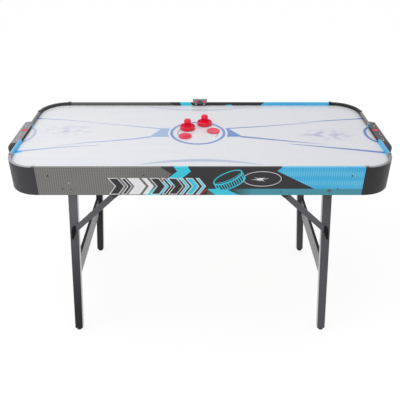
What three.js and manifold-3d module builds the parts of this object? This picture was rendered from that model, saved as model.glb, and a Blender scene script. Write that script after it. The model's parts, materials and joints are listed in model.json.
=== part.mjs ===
// Folding air hockey table, 1.4 m class, on two splayed leg frames that fold up under it.
// Millimetres, +Z up, +X to the right along the table, +Y to the rear. The origin is on the floor,
// under the table's centre.
import * as THREE from 'three';
import { mergeVertices } from 'three/addons/utils/BufferGeometryUtils.js';
import Module from 'manifold-3d';

const wasm = await Module();
wasm.setup();

// ---- Driving dimensions ----
const LENGTH = 1380;          // over the outer faces of the end boards
const WIDTH = 624;            // over the outer faces of the side boards
const RIM_Z = 790;            // top edge of the boards
const BOARD_H = 110;
const BOARD_T = 10;
const GAP = 0.3;              // between pieces that touch
const FIELD_DROP = 12;        // from the rim down to the playing surface
const FIELD_T = 5;
const CORNER_R = 110;         // outer radius of the table's corners
const CORNER_X = 118;         // how far a corner piece runs along the side board
const CORNER_Y = 114;         // and along the end board
const COLLAR_W = 12;          // raised collar at each end of a corner piece
const COLLAR_PROUD = 0.5;
const COLLAR_TOP = 2.5;
const COLLAR_IN = 1.2;

const HINGE_X = 455.5;        // leg hinge bolt
const HINGE_Z = 698;
const SPLAY = Math.atan(0.082);
const LEG_W = 32;             // square tube
const LEG_WALL = 2;
const LEG_FACE_Y = 295;       // the leg's face nearest the side board
const LEG_END_Z = 15.5;       // centre of the leg's lower end above the floor
const PANEL_Z = 268;          // middle height of the cross panel
const PANEL_H = 97;
const PANEL_T = 12;
const PANEL_OFFSET = 3.5;     // its inner face, outwards from the leg's axis

const BRACE_X = 252;          // brace pivot on the side board
const BRACE_Z = 724;
const BRACE_W = 22;
const BRACE_T = 2.8;
const KNUCKLE_LENGTH = 85;    // thickened upper end of a brace
const LATCH_DISTANCE = 182.5; // lock lever's stud, from the hinge down the leg
const STUD_R = 4.5;
const HOOK_RISE = 0.4;        // the hook opens sideways, this far turned up towards the pivot

const GOAL_HALF = 71;         // half the width of the goal slot
const GOAL_Y = -10;           // its middle
const GOAL_SILL_Z = 776.5;
const GOAL_HOOD_Z = 789.5;
const GOAL_BOX_HALF = 148;
const GOAL_BOX_X = 724;       // outer face of a goal box
const GOAL_BOX_BOTTOM = 702;
const GOAL_WALL = 2.5;
const GOAL_ROUND_X = 30;      // rounding of a goal box's plan
const GOAL_ROUND_FRONT = 42;
const GOAL_ROUND_REAR = 66;
const HOOD_ROLL = [[16, 1], [8, 4.5], [3, 10], [0, 19]];  // in from the outer face, down from the top
const HOOD_FALL = 23;         // how far the hood drops to its two ends
const GOAL_WINDOW_HALF = 58;  // finger window in the outer face
const GOAL_WINDOW_Z = [712, 746];

const CHAMBER_X = 640;        // air chamber under the playing surface, half sizes
const CHAMBER_Y = 270;
const CHAMBER_BOTTOM_Z = 742;
const CHAMBER_PANEL_T = 4;
const BATTEN_W = 20;

const FAN_X = 150;
const FAN_HALF = 60;
const FAN_H = 32;
const FAN_BORE_R = 54;
const HUB_R = 17;
const BLADES = 7;
const GUARD_DROP = 18;        // from the housing down to the guard's rings
const GUARD_RINGS = [22, 36, 50, 54];
const GUARD_WIRE_R = 1.5;

const SWITCH_X = -460;
const SWITCH_Z = 729;
const SWITCH_HALF = [6.4, 3.8];
const SWITCH_LIP = 1.2;       // its flange round the hole
const SWITCH_WALL = 1;
const ROCKER_HALF_H = 2.5;
const ROCK = 0.11;            // the rocker rests tipped to its off side
const JACK_X = -400;
const JACK_Z = 729;
const JACK_R = 6;
const JACK_BORE_R = 3.4;

const PUSHER_R = 30;
const PUCK_R = 25.5;
const PUCK_T = 5;
const PUSHERS = [{ name: 'pusher_left', x: -50, y: 45 }, { name: 'pusher_right', x: 18.5, y: 88.5 }];
const PUCKS = [{ name: 'puck_left', x: -58, y: -30 }, { name: 'puck_right', x: 53, y: 19.7 }];

// ---- Derived places ----
const END_X = LENGTH / 2;
const SIDE_Y = WIDTH / 2;
const SIDE_IN_Y = SIDE_Y - BOARD_T;
const END_IN_X = END_X - BOARD_T;
const BOARD_Z = RIM_Z - BOARD_H;
const FIELD_Z = RIM_Z - FIELD_DROP;
const FIELD_UNDER_Z = FIELD_Z - FIELD_T;
const SIDE_END_X = END_X - CORNER_X;   // where a side board meets its corner pieces
const END_END_Y = SIDE_Y - CORNER_Y;
const ARC_X = END_X - CORNER_R;        // centre of a corner's arc
const ARC_Y = SIDE_Y - CORNER_R;
const LEG_MID_Y = LEG_FACE_Y - LEG_W / 2;
const LEG_LENGTH = (HINGE_Z - LEG_END_Z) / Math.cos(SPLAY);
const LATCH_X = HINGE_X + LATCH_DISTANCE * Math.sin(SPLAY);
const LATCH_Z = HINGE_Z - LATCH_DISTANCE * Math.cos(SPLAY);
const BRACE_LENGTH = Math.hypot(LATCH_X - BRACE_X, BRACE_Z - LATCH_Z);
const BRACE_ANGLE = Math.atan2(LATCH_X - BRACE_X, BRACE_Z - LATCH_Z);
const FOOT_X = HINGE_X + (LEG_LENGTH + LEG_END_Z) * Math.sin(SPLAY);

// ---- Materials ----
const material = (color, roughness, metalness = 0) =>
  new THREE.MeshStandardMaterial({ color, roughness, metalness });
const printedGrey = material(0x777672, 0.45);
const printedBlue = material(0x3eafde, 0.4);
const blackPlastic = material(0x3c3c40, 0.4);
const fieldWhite = material(0xe6e7eb, 0.25);
const rawBoard = material(0xa98f6c, 0.8);
const darkSteel = material(0x4a4a4f, 0.45, 0.4);
const panelGrey = material(0x939296, 0.6);
const zinc = material(0xb0b0b4, 0.35, 0.9);
const redPlastic = material(0xe0193c, 0.3);
const felt = material(0x2a2a2c, 0.95);
const greyPlastic = material(0x8b9490, 0.5);
const redLens = material(0xe01040, 0.2);

// ---- Solids ----
function solidOf(geometry) {
  const bare = geometry.index ? geometry.toNonIndexed() : geometry;
  bare.deleteAttribute('normal');
  bare.deleteAttribute('uv');
  const merged = mergeVertices(bare, 1e-4);
  return new wasm.Manifold(new wasm.Mesh({
    numProp: 3,
    vertProperties: new Float32Array(merged.attributes.position.array),
    triVerts: new Uint32Array(merged.index.array),
  }));
}

function geometryOf(solid) {
  const made = solid.getMesh();
  const geometry = new THREE.BufferGeometry();
  geometry.setAttribute('position', new THREE.BufferAttribute(new Float32Array(made.vertProperties), 3));
  geometry.setIndex(new THREE.BufferAttribute(new Uint32Array(made.triVerts), 1));
  geometry.computeVertexNormals();
  return geometry;
}

const block = (x0, x1, y0, y1, z0, z1) =>
  solidOf(new THREE.BoxGeometry(x1 - x0, y1 - y0, z1 - z0)
    .translate((x0 + x1) / 2, (y0 + y1) / 2, (z0 + z1) / 2));

// A cylinder between two values of one axis, round the point given by the other two coordinates.
function rod(axis, radius, from, to, at, sides = 16) {
  const geometry = new THREE.CylinderGeometry(radius, radius, Math.abs(to - from), sides);
  if (axis === 'x') geometry.rotateZ(Math.PI / 2);
  if (axis === 'z') geometry.rotateX(Math.PI / 2);
  const middle = (from + to) / 2;
  const [a, b] = at;
  const place = { x: [middle, a, b], y: [a, middle, b], z: [a, b, middle] }[axis];
  return solidOf(geometry.translate(...place));
}

// A flat outline in X and Z, given as points, as thick as the stretch of Y from y0 to y1.
function plateXZ(points, y0, y1) {
  const shape = new THREE.Shape(points.map(([x, z]) => new THREE.Vector2(x, z)));
  const geometry = new THREE.ExtrudeGeometry(shape, { depth: y1 - y0, bevelEnabled: false });
  return solidOf(geometry.rotateX(Math.PI / 2).translate(0, y1, 0));
}

function plateXY(points, z0, z1) {
  const shape = new THREE.Shape(points.map(([x, y]) => new THREE.Vector2(x, y)));
  return solidOf(new THREE.ExtrudeGeometry(shape, { depth: z1 - z0, bevelEnabled: false })
    .translate(0, 0, z0));
}

// A flat outline in Y and Z, as long as the stretch of X from x0 to x1.
function plateYZ(points, x0, x1) {
  const shape = new THREE.Shape(points.map(([y, z]) => new THREE.Vector2(y, z)));
  const geometry = new THREE.ExtrudeGeometry(shape, { depth: x1 - x0, bevelEnabled: false });
  return solidOf(geometry.rotateX(Math.PI / 2).rotateZ(Math.PI / 2).translate(x0, 0, 0));
}

function arcPoints(cx, cy, radius, from, to, steps) {
  return Array.from({ length: steps + 1 }, (_, i) => {
    const angle = from + (to - from) * i / steps;
    return [cx + radius * Math.cos(angle), cy + radius * Math.sin(angle)];
  });
}

const table = new THREE.Group();

function place(name, solid, look, parent = table) {
  const geometry = solid instanceof THREE.BufferGeometry ? solid : geometryOf(solid);
  const mesh = new THREE.Mesh(geometry, look);
  mesh.name = name;
  parent.add(mesh);
  return mesh;
}

const SIDES = [{ name: 'left', sx: -1 }, { name: 'right', sx: 1 }];
const ROWS = [{ name: 'front', sy: -1 }, { name: 'rear', sy: 1 }];
const ordered = (a, b) => [Math.min(a, b), Math.max(a, b)];

// ---- Side and end boards ----
const BOLT_R = 4;
const BOLT_HOLE_R = 4.4;
const SCREW_R = 3;            // brace screws go into the side board from inside and stop in it
const SCREW_END_Y = SIDE_Y - 3;

function sideBoard(sy) {
  const [y0, y1] = ordered(sy * SIDE_IN_Y, sy * SIDE_Y);
  const reach = SIDE_END_X - GAP;
  let board = block(-reach, reach, y0, y1, BOARD_Z, RIM_Z);
  for (const sx of [-1, 1]) {
    const screwHole = ordered(sy * (SIDE_IN_Y - 1), sy * (SCREW_END_Y + GAP));
    board = board.subtract(rod('y', BOLT_HOLE_R, y0 - 1, y1 + 1, [sx * HINGE_X, HINGE_Z]));
    board = board.subtract(rod('y', SCREW_R + GAP, ...screwHole, [sx * BRACE_X, BRACE_Z]));
  }
  if (sy < 0) {
    const [w, h] = SWITCH_HALF.map((half) => half + GAP);
    return board.subtract(block(SWITCH_X - w, SWITCH_X + w, y0 - 1, y1 + 1, SWITCH_Z - h, SWITCH_Z + h));
  }
  return board.subtract(rod('y', JACK_R + GAP, y0 - 1, y1 + 1, [JACK_X, JACK_Z]));
}

function endBoard(sx) {
  const [x0, x1] = ordered(sx * END_IN_X, sx * END_X);
  const reach = END_END_Y - GAP;
  return block(x0, x1, -reach, reach, BOARD_Z, RIM_Z)
    .subtract(block(x0 - 1, x1 + 1, GOAL_Y - GOAL_HALF, GOAL_Y + GOAL_HALF, GOAL_SILL_Z, RIM_Z + 1));
}

place('front_board', sideBoard(-1), printedGrey);
place('rear_board', sideBoard(1), printedGrey);
place('left_end_board', endBoard(-1), printedGrey);
place('right_end_board', endBoard(1), printedBlue);

// ---- Corner pieces ----
function cornerPiece(sx, sy) {
  const mirror = (points) => points.map(([x, y]) => [sx * x, sy * y]);
  const inner = CORNER_R - BOARD_T;
  const band = mirror([
    [SIDE_END_X, SIDE_Y], ...arcPoints(ARC_X, ARC_Y, CORNER_R, Math.PI / 2, 0, 14), [END_X, END_END_Y],
    [END_IN_X, END_END_Y], ...arcPoints(ARC_X, ARC_Y, inner, 0, Math.PI / 2, 14), [SIDE_END_X, SIDE_IN_Y],
  ]);
  const collarAt = (x0, x1, y0, y1, z0) =>
    block(...ordered(sx * x0, sx * x1), ...ordered(sy * y0, sy * y1), z0, RIM_Z + COLLAR_TOP);
  const aboveField = FIELD_Z + 2 * GAP;
  return plateXY(band, BOARD_Z, RIM_Z)
    .add(collarAt(SIDE_END_X, SIDE_END_X + COLLAR_W, SIDE_IN_Y, SIDE_Y + COLLAR_PROUD, BOARD_Z))
    .add(collarAt(SIDE_END_X, SIDE_END_X + COLLAR_W, SIDE_IN_Y - COLLAR_IN, SIDE_IN_Y + 1, aboveField))
    .add(collarAt(END_IN_X, END_X + COLLAR_PROUD, END_END_Y, END_END_Y + COLLAR_W, BOARD_Z))
    .add(collarAt(END_IN_X - COLLAR_IN, END_IN_X + 1, END_END_Y, END_END_Y + COLLAR_W, aboveField));
}

for (const row of ROWS) {
  for (const side of SIDES) {
    place(`corner_${row.name}_${side.name}`, cornerPiece(side.sx, row.sy), blackPlastic);
  }
}

// ---- Playing surface and air chamber ----
function roundedRectangle(halfX, halfY, radius, steps) {
  const x = halfX - radius;
  const y = halfY - radius;
  const quarter = Math.PI / 2;
  return [[x, y], [-x, y], [-x, -y], [x, -y]].flatMap(([cx, cy], i) =>
    arcPoints(cx, cy, radius, quarter * i, quarter * (i + 1), steps));
}

place('playfield', plateXY(
  roundedRectangle(END_IN_X - GAP, SIDE_IN_Y - GAP, CORNER_R - BOARD_T - GAP, 14),
  FIELD_UNDER_Z, FIELD_Z), fieldWhite);

const battenZ = [CHAMBER_BOTTOM_Z + CHAMBER_PANEL_T + GAP, FIELD_UNDER_Z - GAP];
for (const { name, sy } of ROWS) {
  const [y0, y1] = ordered(sy * CHAMBER_Y, sy * (CHAMBER_Y - BATTEN_W));
  place(`batten_${name}`, block(-CHAMBER_X, CHAMBER_X, y0, y1, ...battenZ), rawBoard);
}
for (const { name, sx } of SIDES) {
  const [x0, x1] = ordered(sx * CHAMBER_X, sx * (CHAMBER_X - BATTEN_W));
  const reach = CHAMBER_Y - BATTEN_W - GAP;
  place(`batten_${name}`, block(x0, x1, -reach, reach, ...battenZ), rawBoard);
}
place('chamber_panel',
  block(-CHAMBER_X, CHAMBER_X, -CHAMBER_Y, CHAMBER_Y, CHAMBER_BOTTOM_Z, CHAMBER_BOTTOM_Z + CHAMBER_PANEL_T)
    .subtract(rod('z', FAN_BORE_R, CHAMBER_BOTTOM_Z - 1, CHAMBER_BOTTOM_Z + 9, [FAN_X, 0], 24)), rawBoard);

// ---- Fan ----
const fanTop = CHAMBER_BOTTOM_Z - GAP;
const fanLow = fanTop - FAN_H;
place('fan_housing',
  block(FAN_X - FAN_HALF, FAN_X + FAN_HALF, -FAN_HALF, FAN_HALF, fanLow, fanTop)
    .subtract(rod('z', FAN_BORE_R, fanLow - 1, fanTop + 1, [FAN_X, 0], 24)), blackPlastic);

function impeller() {
  const low = fanLow + 6;
  const high = fanTop - 4;
  let wheel = rod('z', HUB_R, low, high, [0, 0], 20);
  for (let i = 0; i < BLADES; i += 1) {
    const blade = new THREE.BoxGeometry(35, 2.4, 20)
      .rotateX(0.6)
      .translate(HUB_R + 16, 0, (low + high) / 2)
      .rotateZ(2 * Math.PI * i / BLADES);
    wheel = wheel.add(solidOf(blade));
  }
  return geometryOf(wheel).translate(FAN_X, 0, 0);
}
place('fan_impeller', impeller(), blackPlastic);

function motor() {
  const armTop = fanLow - GAP;
  let made = rod('z', HUB_R, armTop - 12, armTop + 5, [FAN_X, 0], 20);
  for (const turn of [0, Math.PI / 2]) {
    made = made.add(solidOf(new THREE.BoxGeometry(2 * (FAN_HALF - 1), 8, 3).rotateZ(turn)
      .translate(FAN_X, 0, armTop - 1.5)));
  }
  return made;
}
place('fan_motor', motor(), darkSteel);

function guard() {
  const top = fanLow - GUARD_DROP;
  const ringAt = (radius) =>
    solidOf(new THREE.TorusGeometry(radius, GUARD_WIRE_R, 5, 18).translate(FAN_X, 0, top));
  let made = GUARD_RINGS.map(ringAt).reduce((all, ring) => all.add(ring));
  for (let i = 0; i < 3; i += 1) {
    made = made.add(solidOf(new THREE.BoxGeometry(2 * FAN_BORE_R + 4, 2 * GUARD_WIRE_R, 2)
      .rotateZ(i * Math.PI / 3 + Math.PI / 4).translate(FAN_X, 0, top)));
  }
  for (const turn of [1, 3, 5, 7].map((eighth) => eighth * Math.PI / 4)) {
    const at = [FAN_X + FAN_BORE_R * Math.cos(turn), FAN_BORE_R * Math.sin(turn)];
    made = made.add(rod('z', 2 * GUARD_WIRE_R, top - 1, fanLow - GAP, at, 8));
  }
  return made;
}
place('fan_guard', guard(), zinc);

// ---- Power switch and inlet ----
function switchHousing() {
  const [w, h] = SWITCH_HALF;
  const face = SIDE_Y + GAP;
  const grown = (by, y0, y1) =>
    block(SWITCH_X - w - by, SWITCH_X + w + by, y0, y1, SWITCH_Z - h - by, SWITCH_Z + h + by);
  return grown(0, -face - 0.5, -SIDE_IN_Y + 14)
    .add(grown(SWITCH_LIP, -face - 1, -face))
    .subtract(grown(-SWITCH_WALL, -face - 3, -SIDE_IN_Y + 6));
}
place('switch_housing', switchHousing(), blackPlastic);

const rocker = new THREE.Group();
rocker.position.set(SWITCH_X, -SIDE_Y + 4, SWITCH_Z);
rocker.rotation.z = ROCK;
place('switch_rocker', plateXY(
  [[-4.6, -4.8], [0, -4.3], [4.6, -4.8], [4.3, 2], [0, 3.4], [-4.3, 2]],
  -ROCKER_HALF_H, ROCKER_HALF_H), blackPlastic, rocker);
table.add(rocker);

place('power_jack',
  rod('y', JACK_R, SIDE_IN_Y - 12, SIDE_Y + 1, [JACK_X, JACK_Z], 20)
    .add(rod('y', JACK_R + 2, SIDE_Y + GAP, SIDE_Y + 2, [JACK_X, JACK_Z], 20))
    .subtract(rod('y', JACK_BORE_R, SIDE_IN_Y - 6, SIDE_Y + 9, [JACK_X, JACK_Z], 12)), blackPlastic);

// ---- Goal boxes: a hooded pocket outside each end board ----
// The hood is level over the slot, falls off to both ends and rolls over its outer edge.
function goalForm(sx, inset, reachIn) {
  const outer = GOAL_BOX_X - inset;
  const top = GOAL_HOOD_Z - inset;
  const low = GOAL_BOX_BOTTOM + inset;
  const roll = HOOD_ROLL.map(([x, z]) => [outer - x, top - z]);
  const profile = [[reachIn, top], ...roll, [outer, low], [reachIn, low]];
  const half = GOAL_BOX_HALF - inset;
  const shoulder = GOAL_HALF + 4;
  const fall = HOOD_FALL;
  const front = [
    [-half, low], [half, low], [half, top - fall], [half - 8, top - fall + 3.5], [shoulder, top],
    [-shoulder, top], [-half + 8, top - fall + 3.5], [-half, top - fall],
  ];
  const corner = (y, roundY, from) => arcPoints(0, 0, 1, from, from + Math.PI / 2, 7)
    .map(([c, s]) => [outer - GOAL_ROUND_X * (1 - c), y + roundY * s]);
  const plan = [
    [reachIn, -half], ...corner(GOAL_ROUND_FRONT - half, GOAL_ROUND_FRONT, -Math.PI / 2),
    ...corner(half - GOAL_ROUND_REAR, GOAL_ROUND_REAR, 0), [reachIn, half],
  ];
  const flip = (points) => points.map(([x, z]) => [sx * x, z]);
  return plateXZ(flip(profile), -half, half)
    .intersect(plateYZ(front, ...ordered(sx * reachIn, sx * outer)))
    .intersect(plateXY(flip(plan), low - 1, top + 1));
}

function goalBox(sx) {
  const face = END_X + GAP;
  const tongue = block(...ordered(sx * (END_IN_X + GAP), sx * (face + 2)),
    GOAL_Y - GOAL_HALF + GAP, GOAL_Y + GOAL_HALF - GAP, GOAL_HOOD_Z - GOAL_WALL, GOAL_HOOD_Z);
  const windowAt = block(...ordered(sx * (GOAL_BOX_X - 12), sx * (GOAL_BOX_X + 5)),
    -GOAL_WINDOW_HALF, GOAL_WINDOW_HALF, ...GOAL_WINDOW_Z);
  return goalForm(sx, 0, face)
    .subtract(goalForm(sx, GOAL_WALL, face - 10))
    .add(tongue)
    .subtract(windowAt);
}
for (const { name, sx } of SIDES) place(`goal_box_${name}`, goalBox(sx), blackPlastic);

// ---- Electronic scorer, clipped over the rear board ----
const SCORER_HALF = 31;
const SCORER_FOOT_HALF = 28;
const SCORER_TOP = 804;
const SCORER_FRONT = 296.5;
const SCORER_BACK = 314.8;
const DISPLAY_X = 18;
const DISPLAY_Z = 798;
const DISPLAY_HALF = [4.6, 4.6];
const BUTTON_X = 18.5;
const BUTTON_Z = 785.6;
const BUTTON_R = 4.2;
const BUTTON_TRAVEL = 1.2;

function scorerHousing() {
  let made = block(-SCORER_HALF, SCORER_HALF, SCORER_FRONT, SCORER_BACK, RIM_Z + GAP, SCORER_TOP)
    .add(block(-SCORER_FOOT_HALF, SCORER_FOOT_HALF, SCORER_FRONT, SIDE_IN_Y - GAP, FIELD_Z + GAP, RIM_Z + 1))
    .add(block(-SCORER_FOOT_HALF, SCORER_FOOT_HALF, SIDE_Y + GAP, SCORER_BACK, RIM_Z - 20, RIM_Z + 1));
  const [w, h] = DISPLAY_HALF;
  for (const { sx } of SIDES) {
    made = made.subtract(block(sx * DISPLAY_X - w, sx * DISPLAY_X + w, SCORER_FRONT - 1, SCORER_FRONT + 2,
      DISPLAY_Z - h, DISPLAY_Z + h));
    made = made.subtract(rod('y', BUTTON_R + GAP, SCORER_FRONT - 1, SCORER_FRONT + 3.6,
      [sx * BUTTON_X, BUTTON_Z]));
  }
  return made;
}
place('scorer_housing', scorerHousing(), greyPlastic);
for (const { name, sx } of SIDES) {
  const [w, h] = DISPLAY_HALF.map((half) => half - GAP);
  place(`scorer_display_${name}`, block(sx * DISPLAY_X - w, sx * DISPLAY_X + w, SCORER_FRONT + 0.3,
    SCORER_FRONT + 2 - GAP, DISPLAY_Z - h, DISPLAY_Z + h), redLens);
  place(`scorer_button_${name}`, rod('y', BUTTON_R, SCORER_FRONT - BUTTON_TRAVEL - 0.3,
    SCORER_FRONT + 3.6 - BUTTON_TRAVEL - GAP, [sx * BUTTON_X, BUTTON_Z]), greyPlastic);
}

// ---- Leg hinge bolts through the side boards, with a spacer and a nut; brace screws ----
const BOLT_HEAD_R = 5.4;
const BOLT_HEAD_H = 2.4;
const SPACER_R = 8;
const NUT_R = 7;
const LAYER_IN_Y = LEG_FACE_Y + GAP;         // braces lie next to the legs
const LAYER_OUT_Y = SIDE_IN_Y - GAP;         // lock levers lie next to the side boards
const LEVER_IN_Y = LAYER_IN_Y + BRACE_T + GAP;

function hingeBolt(sx, sy) {
  const at = [sx * HINGE_X, HINGE_Z];
  const along = (radius, from, to, sides) => rod('y', radius, ...ordered(sy * from, sy * to), at, sides);
  const legInY = LEG_FACE_Y - LEG_W;
  return along(BOLT_R, legInY - 5, SIDE_Y + 1)
    .add(along(NUT_R, legInY - 6, legInY - GAP, 6))
    .add(along(SPACER_R, LAYER_IN_Y, LAYER_OUT_Y, 20))
    .add(along(BOLT_HEAD_R, SIDE_Y + GAP, SIDE_Y + GAP + BOLT_HEAD_H, 20));
}

const SCREW_HEAD_R = 7;
const SCREW_HEAD_H = 2;
function braceScrew(sx, sy) {
  const at = [sx * BRACE_X, BRACE_Z];
  return rod('y', SCREW_R, ...ordered(sy * (LAYER_IN_Y + 1), sy * SCREW_END_Y), at)
    .add(rod('y', SCREW_HEAD_R, ...ordered(sy * (LAYER_IN_Y + GAP), sy * (LAYER_IN_Y + GAP + SCREW_HEAD_H)), at, 20));
}
for (const row of ROWS) {
  for (const side of SIDES) {
    const corner = `${row.name}_${side.name}`;
    place(`hinge_bolt_${corner}`, hingeBolt(side.sx, row.sy), zinc);
    place(`brace_screw_${corner}`, braceScrew(side.sx, row.sy), zinc);
  }
}

// ---- Leg frames: each group's origin is on its hinge axis, with -Z running down the legs ----
const hollowHalf = LEG_W / 2 - LEG_WALL;
const STEM_R = 4;
function leg(sy) {
  const half = LEG_W / 2;
  const outerWall = ordered(sy * (half + 1), sy * (hollowHalf - 1));
  const tube = block(-half, half, -half, half, -LEG_LENGTH, half)
    .subtract(block(-hollowHalf, hollowHalf, -hollowHalf, hollowHalf, -LEG_LENGTH + 3, half + 1));
  return tube
    .subtract(rod('y', BOLT_HOLE_R, -half - 1, half + 1, [0, 0]))
    .subtract(rod('y', STUD_R + GAP, ...outerWall, [0, -LATCH_DISTANCE]))
    .subtract(rod('z', STEM_R + 0.4, -LEG_LENGTH - 1, -LEG_LENGTH + 4, [0, 0], 12));
}

const panelDistance = (HINGE_Z - PANEL_Z) / Math.cos(SPLAY);
function crossPanel(sx) {
  const [x0, x1] = ordered(sx * PANEL_OFFSET, sx * (PANEL_OFFSET + PANEL_T));
  const reach = LEG_MID_Y - LEG_W / 2 - GAP;
  return block(x0, x1, -reach, reach, -panelDistance - PANEL_H / 2, -panelDistance + PANEL_H / 2);
}

// The lever's outline joins three circles on one line: a nose, the boss and the tail.
function leverOutline() {
  const joined = (r1, r2, apart) => Math.acos((r1 - r2) / apart);
  const [nose, boss, tail] = [5, 8.8, 3.6];
  const [noseUp, tailDown] = [18, 34];
  const up = joined(boss, nose, noseUp);
  const down = joined(boss, tail, tailDown);
  const quarter = Math.PI / 2;
  const right = [
    ...arcPoints(0, -tailDown, tail, -quarter, -quarter + down, 4),
    ...arcPoints(0, 0, boss, -quarter + down, quarter - up, 6),
    ...arcPoints(0, noseUp, nose, quarter - up, quarter, 4),
  ];
  const left = right.slice(1, -1).reverse().map(([x, z]) => [-x, z]);
  return [...right, ...left];
}
const LEVER_TURN = 0.14;      // the tail hangs this far outwards of the leg's line

// The lever's stud goes through the brace's hook into the leg's outer wall.
function lockLever(sy) {
  const plate = plateXZ(leverOutline(), ...ordered(sy * LEVER_IN_Y, sy * LAYER_OUT_Y));
  const stud = ordered(sy * (LEG_FACE_Y - LEG_WALL - 2), sy * (LEVER_IN_Y + 1));
  return plate.add(rod('y', STUD_R, ...stud, [0, 0]));
}

for (const { name, sx } of SIDES) {
  const frame = new THREE.Group();
  frame.position.set(sx * HINGE_X, 0, HINGE_Z);
  frame.rotation.y = -sx * SPLAY;
  table.add(frame);
  place(`cross_panel_${name}`, crossPanel(sx), panelGrey, frame);
  for (const row of ROWS) {
    const tube = place(`leg_${row.name}_${name}`, leg(row.sy), darkSteel, frame);
    tube.position.y = row.sy * LEG_MID_Y;
    const lever = place(`lock_lever_${row.name}_${name}`, lockLever(row.sy), blackPlastic, frame);
    lever.position.z = -LATCH_DISTANCE;
    lever.rotation.y = -sx * LEVER_TURN;
  }
}

// ---- Braces: flat bars on screws in the side boards, hooked over the lock levers' studs ----
function brace(sx, sy) {
  const half = BRACE_W / 2;
  const end = -BRACE_LENGTH;
  const tip = 8.6;
  const bar = [[tip, end], [half, end + 22], ...arcPoints(0, 0, half, 0, Math.PI, 10), [-half, end + 22],
    [-tip, end], ...arcPoints(0, end, tip, Math.PI, 2 * Math.PI, 8).slice(1, -1)];
  const knuckle = [[half, -KNUCKLE_LENGTH + half], ...arcPoints(0, 0, half, 0, Math.PI, 10),
    ...arcPoints(0, -KNUCKLE_LENGTH + half, half, Math.PI, 2 * Math.PI, 8).slice(0, -1)];
  const mouth = STUD_R + 0.8;
  const [c, h] = [Math.cos(HOOK_RISE), Math.sin(HOOK_RISE)];
  const way = (along, across) => [sx * (along * c - across * h), end + along * h + across * c];
  const slot = [way(0, -mouth), way(24, -mouth), way(24, mouth), way(0, mouth)];
  const layer = ordered(sy * LAYER_IN_Y, sy * (LAYER_IN_Y + BRACE_T));
  const wide = ordered(sy * (LAYER_IN_Y - 1), sy * (LAYER_OUT_Y + 1));
  return plateXZ(bar, ...layer)
    .add(plateXZ(knuckle, ...ordered(sy * LAYER_IN_Y, sy * LAYER_OUT_Y)))
    .subtract(plateXZ(slot, ...wide))
    .subtract(rod('y', mouth, ...wide, [0, end], 20))
    .subtract(rod('y', SCREW_R + GAP, ...wide, [0, 0]))
    .subtract(rod('y', SCREW_HEAD_R + GAP, ...ordered(sy * (LAYER_IN_Y - 1),
      sy * (LAYER_IN_Y + SCREW_HEAD_H + 2 * GAP)), [0, 0], 20));
}
for (const row of ROWS) {
  for (const { name, sx } of SIDES) {
    const bar = place(`brace_${row.name}_${name}`, brace(sx, row.sy), darkSteel);
    bar.position.set(sx * BRACE_X, 0, BRACE_Z);
    bar.rotation.y = -sx * BRACE_ANGLE;
  }
}

// ---- Levelling feet ----
function foot(sx) {
  const profile = [[0, 0], [8, 0], [10.6, 1.4], [12, 4.4], [11.6, 8.5], [8, 11], [STEM_R, 12.4], [0, 12.4]];
  const pad = new THREE.LatheGeometry(profile.map(([r, z]) => new THREE.Vector2(r, z)), 20).rotateX(Math.PI / 2);
  const stem = new THREE.CylinderGeometry(STEM_R, STEM_R, 34, 12).rotateX(Math.PI / 2)
    .translate(0, 0, 17 + 6).rotateY(-sx * SPLAY);
  return solidOf(pad).add(solidOf(stem));
}
for (const row of ROWS) {
  for (const { name, sx } of SIDES) {
    const pad = place(`foot_${row.name}_${name}`, foot(sx), blackPlastic);
    pad.position.set(sx * FOOT_X, row.sy * LEG_MID_Y, 0);
  }
}

// ---- Pushers with felt pads, and pucks ----
const FELT_T = 1;
const pusherProfile = [
  [0, 0], [PUSHER_R - 2, 0], [PUSHER_R, 1.6], [PUSHER_R, 11], [PUSHER_R - 1.4, 13], [PUSHER_R - 3.6, 13],
  [PUSHER_R - 5, 11], [PUSHER_R - 6.5, 5.5], [15, 5], [12, 8], [11, 14], [11.6, 21], [14, 27], [14.2, 32],
  [12, 37.2], [7.5, 40.4], [0, 41.4],
];
for (const { name, x, y } of PUSHERS) {
  const bottom = FIELD_Z + GAP;
  const pad = place(`${name}_felt`,
    rod('z', PUSHER_R - 2.5, bottom, bottom + FELT_T, [0, 0], 28), felt);
  const profile = pusherProfile.map(([r, z]) => new THREE.Vector2(r, z));
  const body = place(name,
    new THREE.LatheGeometry(profile, 28).rotateX(Math.PI / 2).translate(0, 0, bottom + FELT_T + GAP), redPlastic);
  pad.position.set(x, y, 0);
  body.position.set(x, y, 0);
}
for (const { name, x, y } of PUCKS) {
  const profile = [[0, 0], [PUCK_R - 1, 0], [PUCK_R, 1], [PUCK_R, PUCK_T - 1], [PUCK_R - 1, PUCK_T],
    [PUCK_R - 5, PUCK_T], [PUCK_R - 6, PUCK_T - 0.6], [0, PUCK_T - 0.6]];
  const puck = place(name, new THREE.LatheGeometry(profile.map(([r, z]) => new THREE.Vector2(r, z)), 28)
    .rotateX(Math.PI / 2).translate(0, 0, FIELD_Z + GAP), redPlastic);
  puck.position.set(x, y, 0);
}

export default table;
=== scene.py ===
"""Looks of a folding air hockey table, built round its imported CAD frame.

Metres, +Z up, +X to the right along the table, +Y to the rear. Prints are laid out in millimetres.
"""

import functools
import json
import math

import bmesh
import bpy
from mathutils import Matrix, Vector


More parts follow.
